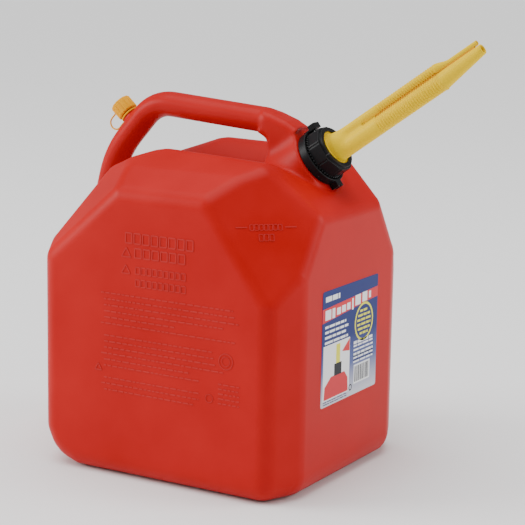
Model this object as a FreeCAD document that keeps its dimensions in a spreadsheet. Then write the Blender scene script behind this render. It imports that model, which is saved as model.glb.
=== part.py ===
import FreeCAD
import Part
import Sketcher
import math
import os

# A 25 litre fuel can with an integral handle, a screwed-on self-venting spout and a tethered vent cap.
# Frame: +X is the front (spout) end, +Z is up, the mid-plane is Y = 0 and the can stands on Z = 0.
# The closure is drawn upright about its own Z axis and tilted into the neck; so is the vent.

Vector = FreeCAD.Vector

SIZES = {
    # tank walls and roof
    "half_width": 143.0,
    "front_x": 162.5,
    "rear_x": 166.0,
    "corner_radius": 22.0,
    "front_bevel_along": 19.5,
    "front_bevel_across": 43.0,
    "rear_bevel_along": 24.0,
    "rear_bevel_across": 52.0,
    "front_foot": 14.0,
    "rear_foot": 28.0,
    "wall": 2.8,
    "shoulder_z": 316.0,
    "ridge_half_width": 104.0,
    "ridge_z": 340.0,
    "crest_half_width": 62.0,
    "crown_z": 356.0,
    "crown_fall": 2.6,
    "rear_slant_z": 231.0,
    "rear_slant_angle": 60.0,
    "rear_deck_angle": 21.0,
    "deck_break_x": -38.0,
    "front_slant_z": 298.0,
    "front_slant_angle": 40.0,
    "valley_depth": 22.0,
    "valley_half_width": 52.0,
    # the three points of each corner facet: top and bottom on the side wall, and one on the end wall
    "front_facet_top_x": 61.0,
    "front_facet_top_z": 317.0,
    "front_facet_low_x": 136.0,
    "front_facet_low_z": 217.0,
    "front_facet_end_y": 76.0,
    "front_facet_end_z": 284.0,
    "rear_facet_top_x": -49.0,
    "rear_facet_top_z": 316.0,
    "rear_facet_low_x": -129.0,
    "rear_facet_low_z": 246.0,
    "rear_facet_end_x": -138.0,
    "rear_facet_end_y": 82.0,
    "rear_facet_end_z": 289.0,
    # handle: the corners of its centre line from the rear wall round to the neck block
    "handle_foot_x": -146.0,
    "handle_foot_z": 205.0,
    "handle_hip_x": -163.0,
    "handle_hip_z": 268.0,
    "handle_knee_x": -146.0,
    "handle_knee_z": 335.0,
    "handle_rear_x": -92.0,
    "handle_rear_z": 396.5,
    "handle_front_x": 62.0,
    "handle_front_z": 385.5,
    "handle_root_x": 92.0,
    "handle_root_z": 327.0,
    "handle_hip_radius": 60.0,
    "handle_knee_radius": 110.0,
    "handle_rear_radius": 46.0,
    "handle_front_radius": 20.0,
    "grip_tall": 28.0,
    "grip_wide": 34.0,
    "web_wide": 38.0,
    "web_edge_radius": 9.0,
    # neck and closure, upright about the neck axis
    "neck_x": 117.7,
    "neck_z": 347.7,
    "neck_elevation": 35.3,
    "neck_root": 45.0,
    "neck_radius": 22.4,
    "neck_bore": 19.6,
    "neck_lip": 21.0,
    "boss_radius": 33.4,
    "seat_radius": 38.5,
    "thread_crest": 23.6,
    "thread_lead": 6.0,
    "thread_low": 7.0,
    "thread_tall": 11.0,
    "ring_low": 0.2,
    "ring_floor": 3.0,
    "ring_top": 9.5,
    "ring_bore": 23.9,
    "ring_inner": 28.8,
    "ring_outer": 31.0,
    "prong_reach": 37.5,
    "prong_wide": 11.0,
    "collar_low": 3.5,
    "collar_tooth_top": 10.0,
    "collar_step": 25.0,
    "collar_top": 28.0,
    "collar_lip": 25.7,
    "collar_bore": 24.0,
    "collar_mouth": 19.7,
    "collar_corner": 27.9,
    "collar_end": 24.4,
    "tooth_root": 26.6,
    "tooth_tip": 28.2,
    "tooth_count": 48,
    "latch_wide": 12.0,
    "latch_inner": 29.0,
    "latch_stem": 31.6,
    "latch_outer": 35.5,
    "latch_low": 3.2,
    "latch_block": 11.5,
    "latch_top": 20.5,
    "gasket_low": 21.2,
    "gasket_top": 22.8,
    "flange_low": 23.0,
    "flange_top": 25.5,
    "flange_radius": 22.9,
    # spout
    "pour_radius": 9.8,
    "pour_offset": 7.0,
    "breather_radius": 5.0,
    "breather_offset": 8.3,
    "spout_wall": 1.4,
    "base_long": 15.2,
    "base_wide": 13.2,
    "base_shoulder": 42.0,
    "base_end": 66.0,
    "ridge_long": 9.2,
    "ridge_wide": 4.0,
    "pour_bellows_low": 86.0,
    "breather_bellows_low": 93.0,
    "bellows_top": 171.0,
    "bellows_pitch": 3.1,
    "bellows_depth": 1.1,
    "nozzle_tip": 228.0,
    "nozzle_tip_radius": 5.6,
    "breather_taper": 19.0,
    "breather_tip_radius": 2.7,
    "breather_tip": 226.0,
    # vent
    "vent_along": 45.0,
    "nipple_radius": 7.0,
    "nipple_bore": 3.5,
    "nipple_top": 15.7,
    "nipple_boss": 10.5,
    "nipple_sink": 6.0,
    "vent_ring_bore": 7.3,
    "vent_ring_radius": 11.2,
    "vent_ring_low": 0.8,
    "vent_ring_top": 2.8,
    "cap_radius": 12.0,
    "cap_bore": 8.0,
    "cap_low": 4.4,
    "cap_ceiling": 17.6,
    "cap_top": 20.6,
    "cap_rib": 0.6,
    "seal_radius": 7.8,
    "seal_low": 16.0,
    "seal_top": 17.5,
    "tether_radius": 0.9,
    "tether_reach": 21.5,
    # label
    "label_size": 127.0,
    "label_low": 91.0,
    "label_thick": 0.3,
    "label_corner": 3.0,
}

doc = FreeCAD.newDocument("JerryCan")
sheet = doc.addObject("Spreadsheet::Sheet", "Sizes")
for row, (alias, value) in enumerate(SIZES.items(), start=1):
    sheet.set("A%d" % row, alias)
    sheet.set("B%d" % row, str(value))
    sheet.setAlias("B%d" % row, alias)
doc.recompute()


def size(alias):
    return float(sheet.get(alias))


def bind(item, **expressions):
    for name, expression in expressions.items():
        item.setExpression(name, expression)


def feature(name, shape, placement=None):
    item = doc.addObject("Part::Feature", name)
    item.Shape = shape
    if placement:
        item.Placement = placement
    return item


def fuse(name, items):
    item = doc.addObject("Part::MultiFuse", name)
    item.Shapes = items
    item.Refine = True
    return item


def cut(name, base, tool):
    item = doc.addObject("Part::Cut", name)
    item.Base = base
    item.Tool = tool
    return item


def closure_placement():
    """The neck axis: the closure's local Z points up and forward, its local X down and forward."""
    turn = FreeCAD.Rotation(Vector(0, 1, 0), 90 - size("neck_elevation"))
    return FreeCAD.Placement(Vector(size("neck_x"), 0, size("neck_z")), turn)


# ---------------------------------------------------------------- tank


def half_spaces():
    """Each wall of the tank as an outward normal and a point on it, outer sharp-edged size."""
    hw, front, rear = size("half_width"), size("front_x"), size("rear_x")
    shoulder, crown = size("shoulder_z"), size("crown_z")
    ridge, ridge_z = size("ridge_half_width"), size("ridge_z")
    shoulder_pitch = math.atan2(ridge_z - shoulder, hw - ridge)
    roof_pitch = math.atan2(crown - ridge_z, ridge - size("crest_half_width"))
    fall = math.radians(size("crown_fall"))
    slant = math.radians(size("rear_slant_angle"))
    deck = math.radians(size("rear_deck_angle"))
    nose = math.radians(size("front_slant_angle"))
    diagonal = math.sqrt(0.5)
    crest = Vector(size("deck_break_x"), 0, crown)
    walls = [
        (Vector(0, 0, -1), Vector(0, 0, 0)),
        (Vector(1, 0, 0), Vector(front, 0, 0)),
        (Vector(-1, 0, 0), Vector(-rear, 0, 0)),
        (Vector(math.sin(fall), 0, math.cos(fall)), crest),
        (Vector(-math.sin(deck), 0, math.cos(deck)), crest),
        (Vector(-math.sin(slant), 0, math.cos(slant)), Vector(-rear, 0, size("rear_slant_z"))),
        (Vector(math.sin(nose), 0, math.cos(nose)), Vector(front, 0, size("front_slant_z"))),
        (Vector(-diagonal, 0, -diagonal), Vector(-rear + size("rear_foot"), 0, 0)),
        (Vector(diagonal, 0, -diagonal), Vector(front - size("front_foot"), 0, 0)),
    ]
    for side in (-1, 1):
        walls += [
            (Vector(0, side, 0), Vector(0, side * hw, 0)),
            (Vector(0, side * math.sin(shoulder_pitch), math.cos(shoulder_pitch)),
             Vector(0, side * hw, shoulder)),
            (Vector(0, side * math.sin(roof_pitch), math.cos(roof_pitch)), Vector(0, side * ridge, ridge_z)),
            upright_bevel("front", 1, side),
            upright_bevel("rear", -1, side),
            foot_bevel("front", 1, side),
            foot_bevel("rear", -1, side),
            facet(side, front_facet()),
            facet(side, rear_facet()),
        ]
    return walls


def upright_bevel(name, end, side):
    """The flat that takes off an upright corner of the tank."""
    along, across = size(name + "_bevel_along"), size(name + "_bevel_across")
    normal = Vector(end * across, side * along, 0).normalize()
    return (normal, Vector(end * size(name + "_x"), side * (size("half_width") - across), 0))


def foot_bevel(name, end, side):
    """The 45 degree flat between an upright bevel and the base."""
    normal, point = upright_bevel(name, end, side)
    return ((normal - Vector(0, 0, 1)).normalize(), point + Vector(0, 0, size(name + "_foot")))


def front_facet():
    top = Vector(size("front_facet_top_x"), size("half_width"), size("front_facet_top_z"))
    low = Vector(size("front_facet_low_x"), size("half_width"), size("front_facet_low_z"))
    end = Vector(size("front_x"), size("front_facet_end_y"), size("front_facet_end_z"))
    return (top, low, end)


def rear_facet():
    top = Vector(size("rear_facet_top_x"), size("half_width"), size("rear_facet_top_z"))
    low = Vector(size("rear_facet_low_x"), size("half_width"), size("rear_facet_low_z"))
    end = Vector(size("rear_facet_end_x"), size("rear_facet_end_y"), size("rear_facet_end_z"))
    return (top, low, end)


def facet(side, corners):
    """A flat corner facet through three points, given for the +Y side and mirrored for the other."""
    points = [Vector(corner.x, side * corner.y, corner.z) for corner in corners]
    normal = (points[1] - points[0]).cross(points[2] - points[0])
    normal.normalize()
    if normal.z < 0:
        normal = -normal
    return (normal, points[0])


def tank_core(inset):
    """The tank's flat-walled body with every wall moved in by the edge radius."""
    reach = 1000.0
    solid = Part.makeBox(reach, reach, reach, Vector(-reach / 2, -reach / 2, -reach / 2))
    for normal, point in half_spaces():
        waste = Part.makeBox(2 * reach, 2 * reach, reach, Vector(-reach, -reach, 0))
        turn = FreeCAD.Rotation(Vector(0, 0, 1), normal)
        waste.Placement = FreeCAD.Placement(point - normal * inset, turn)
        solid = solid.cut(waste)
    return solid.removeSplitter()


def rounded_body(name, grow, valley_grow):
    """The core grown by a radius, which rounds every edge, with the hand valley along its top."""
    core = tank_core(size("corner_radius"))
    rounded = core.makeOffsetShape(grow, 0.01, join=0, fill=False)
    depth, half = size("valley_depth"), size("valley_half_width")
    radius = (half * half + depth * depth) / (2 * depth)
    fall = math.radians(size("crown_fall"))
    along = Vector(math.cos(fall), 0, -math.sin(fall))
    start = Vector(size("deck_break_x"), 0, size("crown_z") - depth + radius) - along * 400
    groove = Part.makeCylinder(radius + valley_grow, 800, start, along)
    return feature(name, rounded.cut(groove))


def rounded_path(points, radii):
    """Straight runs joined by tangent arcs, one arc at each inner point."""
    edges = []
    last = points[0]
    for before, corner, after, radius in zip(points, points[1:], points[2:], radii):
        inward = (before - corner).normalize()
        outward = (after - corner).normalize()
        half = inward.getAngle(outward) / 2
        back = radius / math.tan(half)
        start = corner + inward * back
        end = corner + outward * back
        bisector = (inward + outward).normalize()
        middle = corner + bisector * (radius / math.sin(half) - radius)
        edges.append(Part.LineSegment(last, start).toShape())
        edges.append(Part.Arc(start, middle, end).toShape())
        last = end
    edges.append(Part.LineSegment(last, points[-1]).toShape())
    return Part.Wire(edges)


def handle_points():
    """The corners of the handle's centre line, from the rear wall to the neck block."""
    corners = ("handle_foot", "handle_hip", "handle_knee", "handle_rear", "handle_front", "handle_root")
    return [Vector(size(corner + "_x"), 0, size(corner + "_z")) for corner in corners]


def handle_tube(name, shrink):
    """The oval grip tube, from the rear wall up, over and down into the neck block."""
    points = handle_points()
    radii = [size("handle_%s_radius" % corner) for corner in ("hip", "knee", "rear", "front")]
    path = rounded_path(points, radii)
    spine = feature(name + "Path", path)
    section = doc.addObject("Part::Ellipse", name + "Section")
    bind(section, MajorRadius="Sizes.grip_wide / 2 - %g" % shrink,
         MinorRadius="Sizes.grip_tall / 2 - %g" % shrink)
    heading = points[1] - points[0]
    turn = FreeCAD.Rotation(Vector(0, 1, 0), heading.cross(Vector(0, 1, 0)), heading, "ZXY")
    section.Placement = FreeCAD.Placement(points[0], turn)
    sweep = doc.addObject("Part::Sweep", name)
    sweep.Sections = [section]
    sweep.Spine = (spine, ["Edge%d" % (i + 1) for i in range(len(path.Edges))])
    sweep.Solid = True
    sweep.Frenet = False
    return sweep


def neck_web(name, shrink):
    """The block under the front of the grip that carries the neck."""
    outline = ((48, 373), (54, 398), (66, 396), (86, 389), (106, 378), (122, 351), (124, 321),
               (68, 315), (60, 367))
    points = [Vector(x, 0, z) for x, z in outline]
    wire = Part.makePolygon(points + points[:1])
    if shrink:
        wire = wire.makeOffset2D(-shrink)
    half = size("web_wide") / 2 - 2 * shrink
    block = Part.Face(wire).extrude(Vector(0, 2 * half, 0))
    block.translate(Vector(0, -half, 0))
    if not shrink:
        sides = [edge for edge in block.Edges if abs(abs(edge.CenterOfMass.y) - half) < 0.01]
        block = block.makeFillet(size("web_edge_radius"), sides)
    return feature(name, block)


def neck_thread(name):
    """One raised helical thread round the neck."""
    root, crest = size("neck_radius") - 0.3, size("thread_crest")
    helix = Part.makeHelix(size("thread_lead"), size("thread_tall"), root)
    profile = Part.makePolygon([Vector(root, 0, -1.6), Vector(crest, 0, -0.6), Vector(crest, 0, 0.6),
                                Vector(root, 0, 1.6), Vector(root, 0, -1.6)])
    thread = Part.Wire(helix.Edges).makePipeShell([profile], True, True)
    start = FreeCAD.Placement(Vector(0, 0, size("thread_low")), FreeCAD.Rotation())
    return feature(name, thread, closure_placement().multiply(start))


def vent_placement():
    """The vent axis: normal to the rear run of the handle, on its outer face."""
    low, high = handle_points()[2:4]
    along = (high - low).normalize()
    outward = Vector(-along.z, 0, along.x)
    foot = low + along * size("vent_along") + outward * (size("grip_tall") / 2)
    return FreeCAD.Placement(foot, FreeCAD.Rotation(Vector(0, 0, 1), outward))


def lowered(placement, depth):
    """The same placement, sunk along its own Z axis."""
    return placement.multiply(FreeCAD.Placement(Vector(0, 0, -depth), FreeCAD.Rotation()))


def make_tank():
    radius, wall = size("corner_radius"), size("wall")
    tilt, vent = closure_placement(), vent_placement()
    root, sink = size("neck_root"), size("nipple_sink")
    outer = rounded_body("TankOuter", radius, 0)
    inner = rounded_body("TankInner", radius - wall, wall)
    boss = doc.addObject("Part::Cylinder", "NeckBoss")
    bind(boss, Radius="Sizes.boss_radius", Height="Sizes.neck_root")
    boss.Placement = lowered(tilt, root)
    lump = fuse("TankLump", [outer, handle_tube("HandleTube", 0), neck_web("NeckWeb", 0), boss])
    seat = doc.addObject("Part::Cylinder", "ClosureSeat")
    bind(seat, Radius="Sizes.seat_radius", Height="Sizes.collar_top * 4")
    seat.Placement = tilt
    seated = cut("SeatedTank", lump, seat)
    neck = doc.addObject("Part::Cylinder", "Neck")
    bind(neck, Radius="Sizes.neck_radius", Height="Sizes.neck_lip + Sizes.neck_root / 2")
    neck.Placement = lowered(tilt, root / 2)
    nipple_foot = doc.addObject("Part::Cylinder", "NippleFoot")
    bind(nipple_foot, Radius="Sizes.nipple_boss", Height="Sizes.vent_ring_low + Sizes.nipple_sink")
    nipple_foot.Placement = lowered(vent, sink)
    nipple = doc.addObject("Part::Cylinder", "Nipple")
    bind(nipple, Radius="Sizes.nipple_radius", Height="Sizes.nipple_top + Sizes.nipple_sink")
    nipple.Placement = lowered(vent, sink)
    solid = fuse("TankSolid", [seated, neck, neck_thread("NeckThread"), nipple_foot, nipple])
    bore = doc.addObject("Part::Cylinder", "NeckBore")
    bind(bore, Radius="Sizes.neck_bore", Height="Sizes.neck_lip + Sizes.neck_root + 1")
    bore.Placement = lowered(tilt, root)
    vent_bore = doc.addObject("Part::Cylinder", "VentBore")
    bind(vent_bore, Radius="Sizes.nipple_bore", Height="Sizes.nipple_top + Sizes.grip_tall / 2 + 1")
    vent_bore.Placement = lowered(vent, size("grip_tall") / 2)
    hollows = [inner, handle_tube("HandleHollow", wall), neck_web("WebHollow", wall), bore, vent_bore]
    hollow = fuse("TankHollow", hollows)
    tank = cut("Tank", solid, hollow)
    tank.Label = "tank"
    return tank


# ---------------------------------------------------------------- turned pieces


def turned(name, outline, placement):
    """A PartDesign body turned about its Z axis. Each outline point names its radius and level cells."""
    body = doc.addObject("PartDesign::Body", name.title().replace("_", ""))
    body.Label = name
    plane = [item for item in body.Origin.OriginFeatures if item.Role == "XZ_Plane"][0]
    sketch = body.newObject("Sketcher::SketchObject", body.Name + "Profile")
    sketch.AttachmentSupport = (plane, "")
    sketch.MapMode = "FlatFace"
    spots = [Vector(size(radius) if radius else 0, size(level), 0) for radius, level in outline]
    for start, end in zip(spots, spots[1:] + spots[:1]):
        sketch.addGeometry(Part.LineSegment(start, end), False)
    count = len(outline)
    for index in range(count):
        sketch.addConstraint(Sketcher.Constraint("Coincident", index, 2, (index + 1) % count, 1))
    for index, (radius, level) in enumerate(outline):
        if radius:
            at = sketch.addConstraint(Sketcher.Constraint("DistanceX", -1, 1, index, 1, size(radius)))
            sketch.setExpression("Constraints[%d]" % at, "Sizes." + radius)
        else:
            sketch.addConstraint(Sketcher.Constraint("PointOnObject", index, 1, -2))
        at = sketch.addConstraint(Sketcher.Constraint("DistanceY", -1, 1, index, 1, size(level)))
        sketch.setExpression("Constraints[%d]" % at, "Sizes." + level)
    spin = body.newObject("PartDesign::Revolution", body.Name + "Turn")
    spin.Profile = sketch
    spin.ReferenceAxis = (sketch, ["V_Axis"])
    spin.Angle = 360
    body.Tip = spin
    body.Placement = placement
    return body


def padded_bar(body, name, low, corners, height):
    """A bar with a polygon plan, added to a body from one level up by a height."""
    plane = [item for item in body.Origin.OriginFeatures if item.Role == "XY_Plane"][0]
    sketch = body.newObject("Sketcher::SketchObject", body.Name + name + "Plan")
    sketch.AttachmentSupport = (plane, "")
    sketch.MapMode = "FlatFace"
    bind(sketch, **{"AttachmentOffset.Base.z": "Sizes." + low})
    spots = [Vector(x, y, 0) for x, y in corners]
    for start, end in zip(spots, spots[1:] + spots[:1]):
        sketch.addGeometry(Part.LineSegment(start, end), False)
    for index in range(len(spots)):
        sketch.addConstraint(Sketcher.Constraint("Coincident", index, 2, (index + 1) % len(spots), 1))
    pad = body.newObject("PartDesign::Pad", body.Name + name)
    pad.Profile = sketch
    bind(pad, Length=height)
    body.Tip = pad
    return pad


def spread_round(body, pad, count):
    """Repeats a pad round the body's Z axis."""
    pattern = body.newObject("PartDesign::PolarPattern", pad.Name + "Ring")
    pattern.Originals = [pad]
    pattern.Axis = ([item for item in body.Origin.OriginFeatures if item.Role == "Z_Axis"][0], "")
    pattern.Angle = 360
    bind(pattern, Occurrences=count)
    body.Tip = pattern


def make_latch_ring():
    """The fixed ring round the neck, with a prong at its front and a notch for the latch at its back."""
    ring = turned("latch_ring", (
        ("ring_bore", "ring_low"), ("ring_outer", "ring_low"), ("ring_outer", "ring_top"),
        ("ring_inner", "ring_top"), ("ring_inner", "ring_floor"), ("ring_bore", "ring_floor"),
    ), closure_placement())
    wide, near, far = size("prong_wide") / 2, size("ring_outer") - 0.8, size("prong_reach")
    notch_wide, notch_deep = wide / 3, 2.5
    plan = ((near, -wide), (far, -wide), (far, -notch_wide), (far - notch_deep, 0), (far, notch_wide),
            (far, wide), (near, wide))
    padded_bar(ring, "Prong", "ring_low", plan, "Sizes.ring_top - Sizes.ring_low")
    plane = [item for item in ring.Origin.OriginFeatures if item.Role == "XY_Plane"][0]
    sketch = ring.newObject("Sketcher::SketchObject", "LatchNotchPlan")
    sketch.AttachmentSupport = (plane, "")
    sketch.MapMode = "FlatFace"
    bind(sketch, **{"AttachmentOffset.Base.z": "Sizes.ring_floor"})
    gap, inner, outer = size("latch_wide") / 2 + 0.6, size("ring_inner") - 0.8, size("ring_outer") + 2
    corners = [Vector(x, y, 0) for x, y in ((-outer, -gap), (-inner, -gap), (-inner, gap), (-outer, gap))]
    for start, end in zip(corners, corners[1:] + corners[:1]):
        sketch.addGeometry(Part.LineSegment(start, end), False)
    notch = ring.newObject("PartDesign::Pocket", "LatchNotch")
    notch.Profile = sketch
    notch.Reversed = True
    bind(notch, Length="Sizes.ring_top")
    ring.Tip = notch
    return ring


def make_latch_tab():
    """The finger latch: a thin stem rising from the ring to a thumb block."""
    body = doc.addObject("PartDesign::Body", "LatchTab")
    body.Label = "latch_tab"
    half = size("latch_wide") / 2
    inner, stem, outer = size("latch_inner"), size("latch_stem"), size("latch_outer")
    narrow = half - 1.5
    stem_plan = ((-stem, -narrow), (-inner, -narrow), (-inner, narrow), (-stem, narrow))
    block_plan = ((-outer, -half), (-inner, -half), (-inner, half), (-outer, half))
    padded_bar(body, "Stem", "latch_low", stem_plan, "Sizes.latch_block - Sizes.latch_low")
    padded_bar(body, "Block", "latch_block", block_plan, "Sizes.latch_top - Sizes.latch_block")
    body.Placement = closure_placement()
    return body


def make_collar():
    """The screw collar: a toothed skirt, an eight-sided grip and an end ring round the mouth."""
    collar = turned("screw_collar", (
        ("collar_bore", "collar_low"), ("tooth_root", "collar_low"), ("tooth_root", "collar_step"),
        ("collar_end", "collar_step"), ("collar_end", "collar_top"), ("collar_mouth", "collar_top"),
        ("collar_mouth", "collar_lip"), ("collar_bore", "collar_lip"),
    ), closure_placement())
    root, tip = size("tooth_root") - 0.8, size("tooth_tip")
    tooth = ((root, -0.8), (tip, -0.5), (tip, 0.5), (root, 0.8))
    height = "Sizes.collar_tooth_top - Sizes.collar_low"
    spread_round(collar, padded_bar(collar, "Tooth", "collar_low", tooth, height), "Sizes.tooth_count")
    corner, flat = size("collar_corner"), size("tooth_root") - 0.8
    rib = ((flat, -4.5), (corner, -0.9), (corner, 0.9), (flat, 4.5))
    height = "Sizes.collar_step - Sizes.collar_tooth_top"
    spread_round(collar, padded_bar(collar, "Rib", "collar_tooth_top", rib, height), "8")
    return collar


def make_vent_cap():
    """The push-on cap over the vent nipple, with ribs down its side."""
    cap = turned("vent_cap", (
        ("cap_bore", "cap_low"), ("cap_radius", "cap_low"), ("cap_radius", "cap_top"),
        (None, "cap_top"), (None, "cap_ceiling"), ("cap_bore", "cap_ceiling"),
    ), vent_placement())
    radius = size("cap_radius")
    rib = ((radius - 0.8, -1.6), (radius + size("cap_rib"), -1.0), (radius + size("cap_rib"), 1.0),
           (radius - 0.8, 1.6))
    spread_round(cap, padded_bar(cap, "Rib", "cap_low", rib, "Sizes.cap_top - Sizes.cap_low"), "12")
    return cap


def washer(name, bore, radius, low, high, placement):
    outline = ((bore, low), (radius, low), (radius, high), (bore, high))
    return turned(name, outline, placement)


# ---------------------------------------------------------------- spout


def circle(radius, offset, level):
    return Part.Wire(Part.Circle(Vector(offset, 0, level), Vector(0, 0, 1), radius).toShape())


def oval(long, wide, offset, level):
    ellipse = Part.Ellipse(Vector(0, 0, 0), long, wide)
    wire = Part.Wire(ellipse.toShape())
    wire.translate(Vector(offset, 0, level))
    return wire


def loft(sections, ruled=False):
    return Part.makeLoft(sections, True, ruled)


def tube(radius, offset, low, high):
    return Part.makeCylinder(radius, high - low, Vector(offset, 0, low))


def make_spout_base():
    """The flange and the foot where the pour tube and the breather tube part."""
    pour, breather = size("pour_offset"), -size("breather_offset")
    wall, low, top = size("spout_wall"), size("flange_low"), size("flange_top")
    pour_radius, breather_radius = size("pour_radius"), size("breather_radius")
    pour_top, breather_top = size("pour_bellows_low"), size("breather_bellows_low")
    flange = tube(size("flange_radius"), 0, low, top)
    foot = loft([
        oval(size("base_long") + 1.2, size("base_wide") + 1.2, 0, top - 0.5),
        oval(size("base_long"), size("base_wide"), 0, size("base_shoulder") - 8),
        oval(size("base_long") - 0.6, size("base_wide") - 1.6, 0, size("base_shoulder")),
        oval(size("ridge_long"), size("ridge_wide"), 0, size("base_end")),
    ])
    solid = flange.fuse([foot, tube(pour_radius, pour, top, pour_top),
                         tube(breather_radius, breather, top, breather_top)])
    bores = [tube(pour_radius - wall, pour, low - 1, pour_top + 1),
             tube(breather_radius - wall, breather, low - 1, breather_top + 1)]
    base = feature("SpoutBase", solid.cut(bores), closure_placement())
    base.Label = "spout_base"
    return base


def bellows(name, radius, offset, low):
    """A corrugated tube: rounded rings, one per pitch, with a plain bore."""
    top, depth = size("bellows_top"), size("bellows_depth")
    count = int(round((top - low) / size("bellows_pitch")))
    step = (top - low) / count
    crest, root, bore = radius, radius - depth, radius - depth - size("spout_wall") * 0.7
    outline = [(bore, low), (crest, low)]
    for ring in range(count):
        base = low + ring * step
        outline += [(crest, base + step * 0.3), (root, base + step * 0.5),
                    (root, base + step * 0.7), (crest, base + step)]
    outline += [(bore, top), (bore, low)]
    points = [Vector(offset + reach, 0, level) for reach, level in outline]
    solid = Part.Face(Part.makePolygon(points)).revolve(Vector(offset, 0, 0), Vector(0, 0, 1), 360)
    item = feature(name.title().replace("_", ""), solid, closure_placement())
    item.Label = name
    return item


def make_pour_nozzle():
    """The tapering end of the pour tube; its breather side stays straight."""
    wall, low, tip = size("spout_wall"), size("bellows_top"), size("nozzle_tip")
    radius, end = size("pour_radius"), size("nozzle_tip_radius")
    offset = size("pour_offset")
    end_offset = offset - (radius - end)
    outer = loft([circle(radius, offset, low), circle(end, end_offset, tip)], True)
    inner = loft([circle(radius - wall, offset, low), circle(end - wall, end_offset, tip)], True)
    lip = tube(radius + 0.35, offset, low, low + 2.4).cut(tube(radius - wall, offset, low, low + 2.4))
    half = Part.makeBox(60, 60, 10, Vector(offset - 3, -30, low - 1))
    nozzle = feature("PourNozzle", outer.cut(inner).fuse(lip.common(half)), closure_placement())
    nozzle.Label = "pour_nozzle"
    return nozzle


def make_breather_tip():
    """The thin end of the breather tube, drawn in against the nozzle."""
    wall, low, tip = size("spout_wall"), size("bellows_top"), size("breather_tip")
    radius, end = size("breather_radius"), size("breather_tip_radius")
    neck = low + size("breather_taper")
    offset = -size("breather_offset")
    end_offset = offset + (radius - end)
    outer = loft([circle(radius, offset, low), circle(end, end_offset, neck)], True)
    inner = loft([circle(radius - wall, offset, low), circle(end - 0.9, end_offset, neck)], True)
    outer = outer.fuse(tube(end, end_offset, neck, tip))
    inner = inner.fuse(tube(end - 0.9, end_offset, neck, tip))
    item = feature("BreatherTip", outer.cut(inner), closure_placement())
    item.Label = "breather_tip"
    return item


# ---------------------------------------------------------------- vent tether and label


def make_tether():
    """A moulded strand that leaves the cap's side, loops out and comes back to the ring below."""
    high, low = size("cap_top") - 4.0, (size("vent_ring_low") + size("vent_ring_top")) / 2
    reach, radius = size("tether_reach"), (high - low) / 2
    cap_end, ring_end = -size("cap_radius") - size("cap_rib"), -size("vent_ring_radius")
    middle = Vector(-reach - radius, 0, low + radius)
    path = Part.Wire([
        Part.LineSegment(Vector(cap_end, 0, high), Vector(-reach, 0, high)).toShape(),
        Part.Arc(Vector(-reach, 0, high), middle, Vector(-reach, 0, low)).toShape(),
        Part.LineSegment(Vector(-reach, 0, low), Vector(ring_end, 0, low)).toShape(),
    ])
    section = Part.Circle(Vector(cap_end, 0, high), Vector(1, 0, 0), size("tether_radius")).toShape()
    strand = path.makePipeShell([Part.Wire(section)], True, False)
    tether = feature("VentTether", strand, vent_placement())
    tether.Label = "vent_tether"
    return tether


def make_label():
    """The adhesive label on the front end."""
    label = doc.addObject("Part::Box", "LabelBlank")
    bind(label, Length="Sizes.label_thick", Width="Sizes.label_size", Height="Sizes.label_size")
    label.Placement = FreeCAD.Placement(
        Vector(size("front_x"), -size("label_size") / 2, size("label_low")), FreeCAD.Rotation())
    doc.recompute()
    rounded = doc.addObject("Part::Fillet", "FrontLabel")
    rounded.Base = label
    radius = size("label_corner")
    rounded.Edges = [(index, radius, radius) for index, edge in enumerate(label.Shape.Edges, start=1)
                     if abs(edge.tangentAt(edge.FirstParameter).x) > 0.9]
    rounded.Label = "front_label"
    return rounded


def build():
    closure, vent = closure_placement(), vent_placement()
    parts = [
        make_tank(),
        make_label(),
        make_latch_ring(),
        make_latch_tab(),
        make_collar(),
        washer("spout_gasket", "neck_bore", "neck_radius", "gasket_low", "gasket_top", closure),
        make_spout_base(),
        bellows("pour_bellows", size("pour_radius"), size("pour_offset"), size("pour_bellows_low")),
        bellows("breather_bellows", size("breather_radius"), -size("breather_offset"),
                size("breather_bellows_low")),
        make_pour_nozzle(),
        make_breather_tip(),
        washer("vent_ring", "vent_ring_bore", "vent_ring_radius", "vent_ring_low", "vent_ring_top", vent),
        make_vent_cap(),
        washer("vent_cap_seal", None, "seal_radius", "seal_low", "seal_top", vent),
        make_tether(),
    ]
    doc.recompute()
    for item in doc.Objects:
        if "Invalid" in item.State or "Error" in item.State:
            raise RuntimeError("%s failed: %s" % (item.Name, item.State))
    os.makedirs("parts", exist_ok=True)
    for part in parts:
        shape = part.Shape
        if shape.isNull() or not shape.isValid():
            raise RuntimeError("%s has no valid shape" % part.Label)
        print("%-18s solids %d volume %9.1f mm3" % (part.Label, len(shape.Solids), shape.Volume))
        shape.exportStep("parts/%s.step" % part.Label)
    print("brimful %.2f litres" % (doc.getObject("TankHollow").Shape.Volume / 1e6))


build()
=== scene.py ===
import math
import random

import bpy
import numpy as np
from mathutils import Matrix, Vector


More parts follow.
